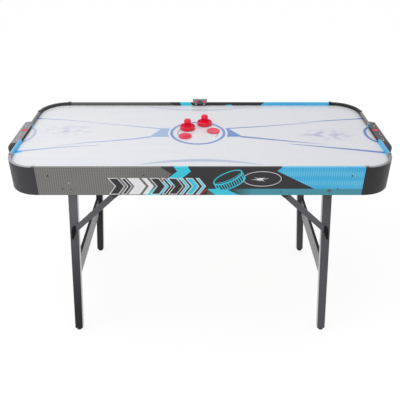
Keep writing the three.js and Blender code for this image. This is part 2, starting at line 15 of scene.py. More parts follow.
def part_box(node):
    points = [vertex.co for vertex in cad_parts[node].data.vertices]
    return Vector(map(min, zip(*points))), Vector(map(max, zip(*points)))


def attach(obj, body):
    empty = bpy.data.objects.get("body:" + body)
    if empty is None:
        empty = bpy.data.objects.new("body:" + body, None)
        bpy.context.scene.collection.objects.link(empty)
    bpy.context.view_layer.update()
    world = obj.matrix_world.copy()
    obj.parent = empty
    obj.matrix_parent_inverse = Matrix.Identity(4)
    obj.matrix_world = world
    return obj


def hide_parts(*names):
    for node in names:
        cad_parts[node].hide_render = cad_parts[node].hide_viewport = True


MM = 0.001
SIDES = {"left": -1, "right": 1}
ROWS = {"front": -1, "rear": 1}

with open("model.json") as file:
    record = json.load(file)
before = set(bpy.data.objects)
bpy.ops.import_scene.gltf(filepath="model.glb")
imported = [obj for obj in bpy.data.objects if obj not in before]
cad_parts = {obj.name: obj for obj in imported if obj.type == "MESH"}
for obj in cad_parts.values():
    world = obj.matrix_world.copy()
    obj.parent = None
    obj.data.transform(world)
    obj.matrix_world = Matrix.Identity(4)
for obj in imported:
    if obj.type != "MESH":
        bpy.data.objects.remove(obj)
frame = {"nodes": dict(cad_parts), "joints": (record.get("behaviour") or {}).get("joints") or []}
NODES = frame["nodes"]
JOINTS = {joint["name"]: joint for joint in frame["joints"]}
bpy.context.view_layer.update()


# ---- Camera, light and floor ----
CAMERA_PLACE = (0.0, -1.9229, 1.6387)
CAMERA_DOWN = math.radians(31.29)
CAMERA_LENS = 47.57
CAMERA_SENSOR = 36.0
# Each light's place, target, width and power.
LIGHTS = {"key": ((-1.6, -1.2, 3.4), (0, 0, 0.75), 2.2, 26),
          "front": ((-0.2, -1.9, 1.1), (0, -0.3, 0.66), 1.4, 5)}
# The room's light at its foot and at its top, and the heights on a unit sphere between which it rises.
GROUND_LIGHT, SKY_LIGHT = 0.36, 0.80
RISE_START, RISE_STOP = -0.75, 0.35
FLOOR_ACROSS = 60
FLOOR_GREY = 0.18
FLOOR_GLOW = 0.85


def add_camera():
    data = bpy.data.cameras.new("camera")
    data.lens = CAMERA_LENS
    data.sensor_width = CAMERA_SENSOR
    camera = bpy.data.objects.new("camera", data)
    camera.location = CAMERA_PLACE
    camera.rotation_euler = (math.pi / 2 - CAMERA_DOWN, 0, 0)
    bpy.context.scene.collection.objects.link(camera)
    bpy.context.scene.camera = camera


def add_area(name, place, target, size, power):
    data = bpy.data.lights.new(name, "AREA")
    data.shape = "DISK"
    data.size = size
    data.energy = power
    light = bpy.data.objects.new(name, data)
    light.location = place
    aim = Vector(target) - Vector(place)
    light.rotation_euler = aim.to_track_quat("-Z", "Y").to_euler()
    bpy.context.scene.collection.objects.link(light)


def add_world():
    """A soft white room, dimmer below the horizon."""
    world = bpy.data.worlds.new("studio")
    bpy.context.scene.world = world
    world.use_nodes = True
    nodes, links = world.node_tree.nodes, world.node_tree.links
    coords = nodes.new("ShaderNodeTexCoord")
    split = nodes.new("ShaderNodeSeparateXYZ")
    rise = nodes.new("ShaderNodeMapRange")
    rise.inputs["From Min"].default_value = RISE_START
    rise.inputs["From Max"].default_value = RISE_STOP
    rise.inputs["To Min"].default_value = GROUND_LIGHT
    rise.inputs["To Max"].default_value = SKY_LIGHT
    links.new(coords.outputs["Generated"], split.inputs[0])
    links.new(split.outputs["Z"], rise.inputs["Value"])
    links.new(rise.outputs["Result"], nodes["Background"].inputs["Strength"])
    nodes["Background"].inputs["Color"].default_value = (1, 1, 1, 1)


def add_floor():
    """A pale floor with a glow of its own, which keeps it white round the table's soft shadow."""
    bpy.ops.mesh.primitive_plane_add(size=FLOOR_ACROSS)
    floor = bpy.context.object
    floor.name = "floor"
    material = bpy.data.materials.new("floor_white")
    material.use_nodes = True
    shader = material.node_tree.nodes["Principled BSDF"]
    shader.inputs["Base Color"].default_value = (FLOOR_GREY, FLOOR_GREY, FLOOR_GREY, 1)
    shader.inputs["Roughness"].default_value = 1.0
    shader.inputs["Specular IOR Level"].default_value = 0.0
    shader.inputs["Emission Color"].default_value = (1, 1, 1, 1)
    shader.inputs["Emission Strength"].default_value = FLOOR_GLOW
    floor.data.materials.append(material)
    floor.visible_diffuse = False


add_camera()
add_world()
for light_name, light_look in LIGHTS.items():
    add_area(light_name, *light_look)
add_floor()
bpy.context.scene.view_settings.view_transform = "Standard"


# ---- Colours ----
def rgb(red, green, blue):
    """An sRGB colour of 0 to 255 as the linear colour a shader takes."""
    def linear(value):
        value /= 255
        return value / 12.92 if value <= 0.04045 else ((value + 0.055) / 1.055) ** 2.4
    return (linear(red), linear(green), linear(blue), 1.0)


def darker(color, share):
    """A colour with this share of its light."""
    return tuple(c * share for c in color[:3]) + (1.0,)


GRID_GREY = rgb(146, 145, 142)
GRID_GREY_DARK = rgb(134, 133, 131)
GRID_LINE = rgb(92, 91, 90)
BLACK = rgb(48, 46, 50)
CYAN = rgb(58, 204, 226)
BLUE = rgb(70, 188, 236)
BLUE_LIGHT = rgb(112, 210, 240)
BLUE_LINE = rgb(44, 150, 212)
TEAL = rgb(72, 150, 168)
WHITE = rgb(236, 236, 238)
RED = rgb(226, 26, 62)
LAVENDER = rgb(178, 196, 232)
PERIWINKLE = rgb(112, 146, 208)
PALE_BLUE = rgb(146, 170, 216)
FAINT_BLUE = rgb(198, 208, 228)
STRONG_BLUE = rgb(92, 122, 190)
BOARD_EDGE = rgb(120, 96, 70)
BOARD_BARE = rgb(146, 120, 90)


# ---- Shader graphs ----
COAT_ROUGHNESS = 0.12
# Colour sockets of the Mix node, which has several with the same names.
MIX_BELOW, MIX_ABOVE, MIX_RESULT = 6, 7, 2


class Graph:
    """A procedural material. Lengths inside it are millimetres in the object's frame."""

    def __init__(self, name, roughness, specular=0.5, metallic=0.0, coat=0.0):
        self.material = bpy.data.materials.new(name)
        self.material.use_nodes = True
        self.tree = self.material.node_tree
        self.shader = self.tree.nodes["Principled BSDF"]
        self.shader.inputs["Roughness"].default_value = roughness
        self.shader.inputs["Specular IOR Level"].default_value = specular
        self.shader.inputs["Metallic"].default_value = metallic
        self.shader.inputs["Coat Weight"].default_value = coat
        self.shader.inputs["Coat Roughness"].default_value = COAT_ROUGHNESS
        coords = self.tree.nodes.new("ShaderNodeTexCoord")
        self.mm = self.vector("SCALE", coords.outputs["Object"], scale=1 / MM)

    def put(self, socket, value):
        """Links another socket to this one, or sets it to a number or colour."""
        if isinstance(value, bpy.types.NodeSocket):
            self.tree.links.new(value, socket)
        else:
            socket.default_value = value

    def vector(self, operation, first, second=None, scale=None):
        node = self.tree.nodes.new("ShaderNodeVectorMath")
        node.operation = operation
        self.put(node.inputs[0], first)
        if second is not None:
            self.put(node.inputs[1], second)
        if scale is not None:
            node.inputs["Scale"].default_value = scale
        return node.outputs["Value" if operation in ("DOT_PRODUCT", "LENGTH") else "Vector"]

    def math(self, operation, first, second=None, third=None):
        node = self.tree.nodes.new("ShaderNodeMath")
        node.operation = operation
        for socket, value in zip(node.inputs, (first, second, third)):
            if value is not None:
                self.put(socket, value)
        return node.outputs[0]

    def ranged(self, value, low, high, to_low=0.0, to_high=1.0):
        node = self.tree.nodes.new("ShaderNodeMapRange")
        self.put(node.inputs["Value"], value)
        ends = {"From Min": low, "From Max": high, "To Min": to_low, "To Max": to_high}
        for name, number in ends.items():
            node.inputs[name].default_value = number
        return node.outputs["Result"]

    def mix(self, amount, below, above):
        node = self.tree.nodes.new("ShaderNodeMix")
        node.data_type = "RGBA"
        self.put(node.inputs["Factor"], amount)
        self.put(node.inputs[MIX_BELOW], below)
        self.put(node.inputs[MIX_ABOVE], above)
        return node.outputs[MIX_RESULT]

    def noise(self, size_mm, detail=2.0, stretch=(1, 1, 1)):
        place = self.vector("MULTIPLY", self.mm, tuple(s / size_mm for s in stretch))
        node = self.tree.nodes.new("ShaderNodeTexNoise")
        node.inputs["Scale"].default_value = 1.0
        node.inputs["Detail"].default_value = detail
        self.tree.links.new(place, node.inputs["Vector"])
        return node.outputs["Fac"]

    def place(self, axis):
        """How far along X, Y or Z a point lies."""
        return self.vector("DOT_PRODUCT", self.mm, [float(a == axis) for a in "XYZ"])

    def normal(self, axis):
        """How far a face looks along X, Y or Z, from -1 to 1."""
        node = self.tree.nodes.new("ShaderNodeNewGeometry")
        split = self.tree.nodes.new("ShaderNodeSeparateXYZ")
        self.tree.links.new(node.outputs["Normal"], split.inputs[0])
        return split.outputs[axis]

    def looking(self, axis, sign, amount=1.0):
        """This amount on faces that look along an axis, or against it where the sign is -1."""
        return self.ranged(self.math("MULTIPLY", self.normal(axis), sign), 0.5, 0.8, 0.0, amount)

    def mottled(self, color):
        """A colour with soft patches of a darker one."""
        return self.mix(self.ranged(self.noise(45, 3.0), 0.35, 0.65), color, darker(color, 0.86))

    def moulded_grain(self, low, high, grain=0.9):
        """The fine texture of a mould, with a roughness that wanders between two values."""
        self.vary_roughness(self.noise(14, 3.0), low, high)
        self.bump(self.noise(grain, 2.0), 0.05, 0.5)

    def bump(self, height, depth_mm, strength):
        node = self.tree.nodes.new("ShaderNodeBump")
        node.inputs["Strength"].default_value = strength
        node.inputs["Distance"].default_value = depth_mm * MM
        self.tree.links.new(height, node.inputs["Height"])
        self.tree.links.new(node.outputs["Normal"], self.shader.inputs["Normal"])

    def vary_roughness(self, value, low, high):
        self.put(self.shader.inputs["Roughness"], self.ranged(value, 0.3, 0.7, low, high))

    def paint(self, color):
        """Sets the colour and gives the finished material."""
        self.put(self.shader.inputs["Base Color"], color)
        return self.material


class Print(Graph):
    """A flat print laid over two axes. Every shape is a distance in mm, above zero inside it."""

    def __init__(self, name, axes, roughness, specular, coat=0.0):
        super().__init__(name, roughness, specular, coat=coat)
        self.axes = axes
        self.base = self.mm
        split = self.tree.nodes.new("ShaderNodeSeparateXYZ")
        self.tree.links.new(self.mm, split.inputs[0])
        self.u, self.v = (split.outputs["XYZ".index(a)] for a in axes)

    def at(self, u, v):
        """A place or a direction on the print, as a vector."""
        place = [0.0, 0.0, 0.0]
        place["XYZ".index(self.axes[0])] = u
        place["XYZ".index(self.axes[1])] = v
        return tuple(place)

    def along(self, u, v):
        """How far a point lies along a direction on the print."""
        return self.vector("DOT_PRODUCT", self.base, self.at(u, v))

    def half(self, u, v, offset):
        """The half of the print that lies past an offset along a direction."""
        return self.math("SUBTRACT", self.along(u, v), offset)

    def smallest(self, values):
        """What all the shapes share."""
        return functools.reduce(functools.partial(self.math, "MINIMUM"), values)

    def largest(self, values):
        """What any of the shapes covers."""
        return functools.reduce(functools.partial(self.math, "MAXIMUM"), values)

    def poly(self, points):
        """A convex outline, its points in either order."""
        middle = [sum(c) / len(points) for c in zip(*points)]
        edges = []
        for (u0, v0), (u1, v1) in zip(points, points[1:] + points[:1]):
            length = math.hypot(u1 - u0, v1 - v0)
            nu, nv = (v0 - v1) / length, (u1 - u0) / length
            offset = nu * u0 + nv * v0
            if nu * middle[0] + nv * middle[1] < offset:
                nu, nv, offset = -nu, -nv, -offset
            edges.append(self.half(nu, nv, offset))
        return self.smallest(edges)

    def rect(self, corner, opposite):
        """A rectangle between two opposite corners."""
        (u0, v0), (u1, v1) = corner, opposite
        return self.poly([(u0, v0), (u1, v0), (u1, v1), (u0, v1)])

    def reach(self, centre, radii):
        """Distance from a centre, counted so that an ellipse of these radii is at 1."""
        away = self.vector("SUBTRACT", self.base, self.at(*centre))
        scaled = self.vector("MULTIPLY", away, self.at(1 / radii[0], 1 / radii[1]))
        return self.vector("LENGTH", scaled)

    def ellipse(self, centre, radii):
        size = min(radii)
        return self.math("MULTIPLY_ADD", self.reach(centre, radii), -size, size)

    def outside(self, shape):
        """Everything but the shape."""
        return self.math("MULTIPLY", shape, -1)

    def crescent(self, centre, radii, cut_centre, cut_radii):
        """What is inside one ellipse and outside another."""
        cut = self.ellipse(cut_centre, cut_radii)
        return self.math("MINIMUM", self.ellipse(centre, radii), self.outside(cut))

    def ring(self, centre, radii, width):
        outer = self.ellipse(centre, [r + width / 2 for r in radii])
        inner = self.ellipse(centre, [r - width / 2 for r in radii])
        return self.math("MINIMUM", outer, self.outside(inner))

    def line(self, start, end, width, end_width=None):
        """A straight stroke that may taper."""
        u, v = end[0] - start[0], end[1] - start[1]
        length = math.hypot(u, v)
        u, v = u / length, v / length
        along = self.half(u, v, start[0] * u + start[1] * v)
        across = self.math("ABSOLUTE", self.half(-v, u, -start[0] * v + start[1] * u))
        taper = ((end_width or width) - width) / 2 / length
        side = self.math("SUBTRACT", self.math("MULTIPLY_ADD", along, taper, width / 2), across)
        from_middle = self.math("ABSOLUTE", self.math("SUBTRACT", along, length / 2))
        ends = self.math("SUBTRACT", length / 2, from_middle)
        return self.math("MINIMUM", side, ends)

    def stripes(self, value, pitch, width):
        """Above zero on stripes this wide, a pitch apart."""
        phase = self.math("PINGPONG", value, pitch / 2)
        return self.math("SUBTRACT", width / 2, phase)

    def turned(self, centre, angle):
        """On a print over X and Z, shapes made until straight() lie turned about a centre."""
        node = self.tree.nodes.new("ShaderNodeVectorRotate")
        node.rotation_type = "AXIS_ANGLE"
        self.tree.links.new(self.mm, node.inputs["Vector"])
        node.inputs["Center"].default_value = self.at(*centre)
        node.inputs["Axis"].default_value = (0, 1, 0)
        node.inputs["Angle"].default_value = angle
        self.base = node.outputs["Vector"]

    def straight(self):
        self.base = self.mm

    def lay(self, below, shape, color, soft=0.2, strength=1.0):
        """A shape of one colour over what is below, with an edge this soft."""
        return self.mix(self.ranged(shape, -soft, soft, 0.0, strength), below, color)


# ---- The boards' print ----
GRID_PITCH = 8.1
GRID_WIDTH = 2.9
FIELD_Z = 778
# Outlines run past the board's top, foot and right end, so that they reach its edges.
PRINT_TOP, PRINT_FOOT, PRINT_END = 795, 675, 620
# The blue's outline turns at one height, and its foot is at the other, just above the teal band's top.
BLUE_TURN, BLUE_FOOT = 776.8, 705.8
BAND_TOP = 705.4
# The end boards' blue starts this far in front of the middle, and the rim's outer tone this far along X.
END_BLUE_START = 60
OUTER_RIM_X = 687
# Chevrons from left to right: where each starts, how wide it is, and its colour.
CHEVRONS = ((-298, 34, BLACK), (-254, 16, BLACK), (-230, 40, WHITE), (-180, 18, WHITE), (-152, 32, BLACK),
            (-112, 14, BLACK), (-90, 32, BLACK), (-50, 14, CYAN), (-28, 26, CYAN), (8, 13, CYAN))
CHEVRON_FOOT, CHEVRON_TOP, CHEVRON_LEAN, CHEVRON_RIM = 683, 749, 0.72, 2.4
# The burst's shards: the angle of each in degrees, and how far from the centre it starts and ends.
SHARDS = ((10, 4, 31), (38, 6, 20), (97, 5, 13), (150, 6, 24), (186, 4, 33), (222, 5, 17), (268, 4, 13),
          (318, 6, 22))
BURST_CENTRE = (210, 744)
BURST_SQUASH = 0.62
# The puck is drawn upright, its top and foot as ellipses of one size, and is then tilted about its middle.
PUCK_MIDDLE, PUCK_TILT = (102, 740), math.radians(26)
PUCK_TOP, PUCK_FOOT, PUCK_SIZE = (102, 753), (102, 726), (55, 20)


def grid(p, below, strength):
    """A fine grid over a colour."""
    lines = p.largest([p.stripes(p.u, GRID_PITCH, GRID_WIDTH), p.stripes(p.v, GRID_PITCH, GRID_WIDTH)])
    return p.lay(below, lines, GRID_LINE, 0.4, strength)


def blue_tones(p, pitch):
    """Two blues in wavering bands, with a fine grid."""
    bands = p.math("SINE", p.math("MULTIPLY", p.v, 2 * math.pi / pitch))
    wobble = p.math("ADD", bands, p.ranged(p.noise(60, 2.0, (0.4, 1, 1)), 0.3, 0.7, -0.8, 0.8))
    tone = p.mix(p.ranged(wobble, -1.2, 1.6), BLUE, BLUE_LIGHT)
    tone = p.lay(tone, p.stripes(p.u, GRID_PITCH, GRID_WIDTH), BLUE_LINE, 0.4, 0.5)
    return p.lay(tone, p.stripes(p.v, GRID_PITCH, GRID_WIDTH), BLUE_LINE, 0.4, 0.3)


def puck_drawing(p, color):
    """A tilted line drawing of a puck, with ticks round its edge."""
    p.turned(PUCK_MIDDLE, PUCK_TILT)
    top, foot, size = PUCK_TOP, PUCK_FOOT, PUCK_SIZE
    outer = p.ellipse(top, size)
    band = p.rect((top[0] - size[0], top[1]), (foot[0] + size[0], foot[1]))
    body = p.largest([outer, p.ellipse(foot, size), band])
    color = p.lay(color, body, CYAN)
    color = p.lay(color, p.ellipse(top, (50.5, 16.5)), BLACK)
    gloss = p.smallest([p.ring(top, (45, 12), 2), p.half(0, -1, -750)])
    color = p.lay(color, gloss, CYAN)
    ticks = p.stripes(p.along(1, 0), 9.0, 5.8)
    side = p.smallest([p.math("SUBTRACT", body, 3.2), p.math("SUBTRACT", p.outside(outer), 1.6)])
    color = p.lay(color, p.math("MINIMUM", side, ticks), BLACK)
    p.straight()
    return color


def burst_drawing(p, color):
    """An oval with a burst of shards in it."""
    color = p.lay(color, p.ring((216.6, 745.3), (66.5, 29), 2.0), WHITE)
    for angle, near, far in SHARDS:
        u, v = math.cos(math.radians(angle)), BURST_SQUASH * math.sin(math.radians(angle))
        start, end = ((BURST_CENTRE[0] + away * u, BURST_CENTRE[1] + away * v) for away in (near, far))
        color = p.lay(color, p.line(start, end, 3.2, 0.4), WHITE)
    return p.lay(color, p.ellipse(BURST_CENTRE, (8, 4.4)), WHITE)


def chevron_drawing(p, color):
    """A row of chevrons, outlined in white."""
    off = p.math("ABSOLUTE", p.math("SUBTRACT", p.v, (CHEVRON_FOOT + CHEVRON_TOP) / 2))
    slide = p.math("MULTIPLY_ADD", off, CHEVRON_LEAN, p.u)
    square = 1 / math.hypot(1, CHEVRON_LEAN)
    band = p.math("SUBTRACT", (CHEVRON_TOP - CHEVRON_FOOT) / 2, off)
    for left, wide, fill in CHEVRONS:
        near = p.math("MULTIPLY", p.math("SUBTRACT", slide, left), square)
        far = p.math("MULTIPLY", p.math("SUBTRACT", left + wide, slide), square)
        shape = p.smallest([near, far, band])
        color = p.lay(color, shape, WHITE)
        color = p.lay(color, p.math("SUBTRACT", shape, CHEVRON_RIM), fill)
    return color


def printed(p, color, axis, inward):
    """The film's fine grain, and the bare board: its bottom edge and its inner face below the field."""
    p.bump(p.noise(1.6, 2.0), 0.03, 0.5)
    p.vary_roughness(p.noise(30, 3.0), 0.34, 0.5)
    inner = p.looking(axis, inward)
    below = p.math("MULTIPLY", inner, p.ranged(p.place("Z"), FIELD_Z - 1.0, FIELD_Z - 3.0))
    bare = p.math("MAXIMUM", below, p.ranged(p.normal("Z"), -0.7, -0.9))
    return p.paint(p.mix(bare, color, p.mix(p.noise(1.4, 4.0), BOARD_EDGE, BOARD_BARE)))


def side_print(name, inward):
    """The side boards' print. Its grey is darker on the face towards the field, as painted shade."""
    p = Print(name, "XZ", 0.42, 0.25, coat=0.05)
    grey = p.mix(p.noise(90, 3.0), GRID_GREY, GRID_GREY_DARK)
    grey = p.mix(p.ranged(p.u, -340, -110, 0.0, 0.55), grey, rgb(96, 92, 84))
    # Painted shade: the grey on the face towards the field is darkened towards black.
    grey = p.mix(p.looking("Y", inward, 0.62), grey, BLACK)
    color = grid(p, grey, 0.75)
    dark = p.largest([p.poly([(-142, PRINT_TOP), (-98, 765), (300, 765), (300, PRINT_TOP)]),
                      p.poly([(-98, 766), (-176, PRINT_FOOT), (420, PRINT_FOOT), (420, 766)])])
    color = p.lay(color, dark, BLACK)
    upper_bolt = [(-92, PRINT_TOP), (-44, PRINT_TOP), (-31.1, 774.9), (-57.7, 752), (-78.7, 774.9)]
    lower_bolt = [(-78.7, 775), (-57.7, 752), (-150, PRINT_FOOT), (-202, PRINT_FOOT)]
    color = p.lay(color, p.largest([p.poly(upper_bolt), p.poly(lower_bolt)]), CYAN)
    color = p.lay(color, p.poly([(30, 704), (66, 680), (62, PRINT_FOOT), (20, PRINT_FOOT)]), GRID_LINE)
    upper_blue = [(289, PRINT_TOP), (266.5, BLUE_TURN), (PRINT_END, BLUE_TURN), (PRINT_END, PRINT_TOP)]
    lower_blue = [(266.5, 777), (402.2, BLUE_FOOT), (PRINT_END, BLUE_FOOT), (PRINT_END, 777)]
    color = p.lay(color, p.largest([p.poly(upper_blue), p.poly(lower_blue)]), blue_tones(p, 36))
    fade = p.math("MULTIPLY", p.ranged(p.u, 105, 185), p.ranged(p.v, 706.0, BAND_TOP))
    color = p.mix(fade, color, TEAL)
    slant = [(25.4, BAND_TOP), (88.8, BAND_TOP), (149, PRINT_FOOT), (62, PRINT_FOOT)]
    color = p.lay(color, p.poly(slant), CYAN)
    color = p.lay(color, p.line((-10, PRINT_FOOT), (23.6, 703.4), 3.2), RED)
    color = chevron_drawing(p, color)
    color = burst_drawing(p, color)
    return printed(p, puck_drawing(p, color), "Y", inward)


def end_print(name, sx):
    """The end boards' print: blue towards the front, grey towards the rear, and a pale rim on top."""
    p = Print(name, "YZ", 0.4, 0.25, coat=0.1)
    grey = p.mix(p.noise(60, 3.0), rgb(124, 122, 124), rgb(102, 101, 104))
    color = grid(p, grey, 0.5)
    near = p.half(-1, 0, END_BLUE_START)
    color = p.lay(color, near, blue_tones(p, 50))
    color = p.lay(color, p.poly([(60, PRINT_TOP), (74, PRINT_TOP), (70, 770), (60, 770)]), CYAN)
    inner = p.looking("X", -sx, 0.5)
    color = p.mix(p.math("MULTIPLY", inner, p.ranged(near, -0.2, 0.2)), color, rgb(92, 204, 250))
    across = p.math("ABSOLUTE", p.place("X"))
    outer_rim = LAVENDER if sx < 0 else rgb(126, 192, 232)
    rim = p.mix(p.ranged(across, OUTER_RIM_X - 0.4, OUTER_RIM_X + 0.4), rgb(84, 176, 226), outer_rim)
    top = p.lay(rgb(128, 124, 132), near, rim)
    return printed(p, p.mix(p.ranged(p.normal("Z"), 0.7, 0.9), color, top), "X", -sx)


# ---- The playing surface's print ----
AIR_PITCH = 25.4
AIR_HOLE_R = 0.5
# The middle's pale disc, the ring on it, and the two arcs inside the ring, with where they start along X.
RING_CENTRE = (-8.4, 6.5)
DISC_R = 118
RING_R, RING_WIDTH = 104, 11
ARC_R, ARC_WIDTH, ARC_START = 79, 4, 68
# Strokes from the ring to the corners: places in mm with the stroke's width there.
RIGHT_STROKES = (
    ((114, 49, 8), (245, 68, 6), (365, 90, 4.5), (469, 105, 1)),
    ((406, 105, 1.5), (530, 130, 6.5), (686, 151, 9.5)),
    ((158, -29, 13), (341, -72, 7.5), (482, -101, 1)),
    ((331, -94, 2), (408, -110, 6.5), (546, -140, 11), (684, -172, 15)),
)
LEFT_STROKES = (
    ((-152, 45, 8), (-285, 75, 6), (-500, 122, 1)),
    ((-447, 114, 1.5), (-542, 134, 5), (-681, 154, 8)),
    ((-192, -32, 12), (-270, -55, 9), (-434, -85, 5), (-551, -115, 1)),
    ((-376, -106, 2), (-534, -127, 6.5), (-684, -163, 11)),
)
# Each half's tones and strengths, its wedge at the ring, and the blot where its front strokes end.
FIELD_LOOK = {
    "left": {"tone": PALE_BLUE, "crease": 0.6, "strokes": LEFT_STROKES,
             "wedge": [(-100, 50), (-153, 50), (-198, -33), (-100, -33)], "wedge_tone": rgb(160, 186, 222),
             "rear_tone": rgb(56, 84, 184), "front_end": ((-677, -164), (21, 11)),
             "front_tone": rgb(60, 170, 235)},
    "right": {"tone": rgb(74, 116, 184), "crease": 0.95, "strokes": RIGHT_STROKES,
              "wedge": [(95, 51), (112, 51), (168, -31), (95, -31)], "wedge_tone": rgb(98, 142, 200),
              "rear_tone": STRONG_BLUE, "front_end": ((684, -171), (20, 6)), "front_tone": STRONG_BLUE},
}


def stroke(p, joints):
    """A stroke through several places, with its width at each."""
    parts = [p.line(a[:2], b[:2], a[2], b[2]) for a, b in zip(joints, joints[1:])]
    return p.largest(parts)


def smudge(p, color, centre, tone, strength):
    """Broken patches of a tone that fade away from a centre."""
    spread = p.ranged(p.reach(centre, (125, 62)), 0.1, 1.0, 1.0, 0.0)
    patches = p.ranged(p.noise(26, 4.0, (0.7, 1, 1)), 0.42, 0.66, 0.0, strength)
    return p.mix(p.math("MULTIPLY", spread, patches), color, tone)


def field_half(p, color, sx, look):
    """One half's marks: the goal crease, the strokes, the wedge at the ring and the blots in the corners."""
    crease = p.crescent((sx * 690, -11), (43, 76), (sx * 696, -11), (37, 70))
    color = p.lay(color, crease, look["tone"], 1.0, look["crease"])
    strokes = p.largest([stroke(p, joints) for joints in look["strokes"]])
    color = p.lay(color, strokes, look["tone"], 0.6, 0.95)
    color = p.lay(color, p.poly(look["wedge"]), look["wedge_tone"], 0.5)
    color = p.lay(color, p.ellipse((sx * 680, 152), (20, 6)), look["rear_tone"], 0.8, 0.9)
    return p.lay(color, p.ellipse(*look["front_end"]), look["front_tone"], 0.8, 0.85)


def centre_ring(p, color):
    color = p.lay(color, p.ellipse(RING_CENTRE, (DISC_R, DISC_R)), rgb(226, 227, 232), 0.6)
    color = p.lay(color, p.ring(RING_CENTRE, (RING_R, RING_R), RING_WIDTH), PERIWINKLE, 0.4)
    apart = p.math("ABSOLUTE", p.math("SUBTRACT", p.u, RING_CENTRE[0]))
    circle = p.ring(RING_CENTRE, (ARC_R, ARC_R), ARC_WIDTH)
    arcs = p.math("MINIMUM", circle, p.math("SUBTRACT", apart, ARC_START))
    return p.lay(color, arcs, STRONG_BLUE, 0.4, 0.8)


def air_holes(p, color):
    """A dot at every crossing of a square grid."""
    cell = [p.math("PINGPONG", value, AIR_PITCH / 2) for value in (p.u, p.v)]
    off = p.math("SQRT", p.math("ADD", *(p.math("MULTIPLY", c, c) for c in cell)))
    return p.lay(color, p.math("SUBTRACT", AIR_HOLE_R, off), rgb(140, 140, 144))


def field_print():
    p = Print("field_print", "XY", 0.3, 0.45, coat=0.15)
    # Painted light: the white is lighter towards the left end and darker towards the right.
    white = p.mix(p.ranged(p.u, -600, 600), rgb(232, 233, 238), rgb(222, 223, 229))
    scratches = p.ranged(p.noise(26, 4.0, (0.06, 1, 1)), 0.52, 0.75, 0.0, 0.2)
    color = p.mix(scratches, white, FAINT_BLUE)
    color = smudge(p, color, (-520, 34), rgb(168, 180, 210), 0.7)
    color = smudge(p, color, (500, -12), rgb(150, 156, 200), 1.0)
    front_arc = p.crescent((0, -793), (570, 570), (0, -1181), (938, 938))
    rear_arc = p.crescent((0, 812), (575, 575), (0, 1101), (847, 847))
    color = p.lay(color, front_arc, rgb(172, 188, 216), 1.0, 0.85)
    color = p.lay(color, rear_arc, rgb(190, 196, 220), 1.0, 0.8)
    for side, sx in SIDES.items():
        color = field_half(p, color, sx, FIELD_LOOK[side])
    color = air_holes(p, centre_ring(p, color))
    p.vary_roughness(p.noise(80, 3.0), 0.22, 0.36)
    p.bump(p.noise(2.2, 3.0), 0.02, 0.2)
    return p.paint(color)


# ---- Plain materials ----
def moulded(name, color, roughness, grain=0.9, specular=0.5, coat=0.0):
    """Moulded plastic, or anything with a coat as smooth."""
    g = Graph(name, roughness, specular, coat=coat)
    g.moulded_grain(roughness - 0.07, roughness + 0.08, grain)
    return g.paint(g.mottled(color))


# Painted highlight: the heights between which a corner's inner face turns paler, and that paler grey.
CORNER_HIGHLIGHT_START, CORNER_HIGHLIGHT_FULL = 768, 772
CORNER_HIGHLIGHT = rgb(160, 160, 164)


def corner_plastic(name, color, lip_highlight_color, sx, sy, inner_highlight):
    """Moulded corner. Its top lip is paler as a painted highlight, and so is the upper part of its face
    towards the field.
    """
    g = Graph(name, 0.45, 0.3)
    # Painted highlight on the upward faces of the top lip.
    lip = g.ranged(g.normal("Z"), 0.6, 0.9, 0.0, 0.85)
    tone = g.mix(lip, g.mottled(color), lip_highlight_color)
    # Painted highlight high on the face towards the field.
    inward_x = g.math("MULTIPLY", g.normal("X"), -sx)
    inward_y = g.math("MULTIPLY", g.normal("Y"), -sy)
    inward = g.math("MAXIMUM", inward_x, inward_y)
    above = g.ranged(g.place("Z"), CORNER_HIGHLIGHT_START, CORNER_HIGHLIGHT_FULL, 0.0, inner_highlight)
    tone = g.mix(g.math("MULTIPLY", g.ranged(inward, 0.4, 0.8), above), tone, CORNER_HIGHLIGHT)
    g.moulded_grain(0.38, 0.53)
    return g.paint(tone)


# Painted shade: the legs' tone goes from its shaded one at the foot to its lit one over this height.
LEG_TOP = 690
LEG_ROUGHNESS = 0.3
LEG_COAT_IOR = 4.0


def coated_steel(name, shaded_foot_color, lit_top_color):
    """Glossy coat that mirrors its surroundings at a glancing angle. Its tone is painted shade, set by the
    height: darker towards the foot.
    """
    g = Graph(name, LEG_ROUGHNESS, specular=0.15)
    # Painted shade: darker towards the foot, lighter towards the top.
    height = g.math("POWER", g.ranged(g.place("Z"), 0, LEG_TOP), 1.6)
    tone = g.mix(height, shaded_foot_color, lit_top_color)
    tone = g.mix(g.ranged(g.noise(160, 2.0), 0.3, 0.7, 0.0, 0.12), tone, BLACK)
    weight = g.tree.nodes.new("ShaderNodeLayerWeight")
    glancing = g.ranged(weight.outputs["Facing"], 0.45, 0.72)
    g.put(g.shader.inputs["Metallic"], glancing)
    g.put(g.shader.inputs["Coat Weight"], glancing)
    g.shader.inputs["Coat IOR"].default_value = LEG_COAT_IOR
    g.vary_roughness(g.noise(9, 3.0), LEG_ROUGHNESS - 0.08, LEG_ROUGHNESS + 0.06)
    g.bump(g.noise(5.0, 2.0), 0.01, 0.2)
    return g.paint(tone)


def melamine(name, color):
    """The cross panels' faces."""
    g = Graph(name, 0.5, 0.4)
    g.vary_roughness(g.noise(9, 3.0), 0.42, 0.58)
    g.bump(g.noise(2.4, 2.0), 0.04, 0.6)
    return g.paint(g.mix(g.ranged(g.noise(70, 2.0), 0.3, 0.7, 0.0, 0.1), color, BLACK))


def bright_metal(name, color, roughness):
    g = Graph(name, roughness, 0.5, metallic=0.9)
    tone = g.mix(g.noise(3.0, 3.0), color, darker(color, 0.7))
    g.vary_roughness(g.noise(1.2, 3.0, (1, 1, 0.2)), roughness - 0.1, roughness + 0.12)
    return g.paint(tone)


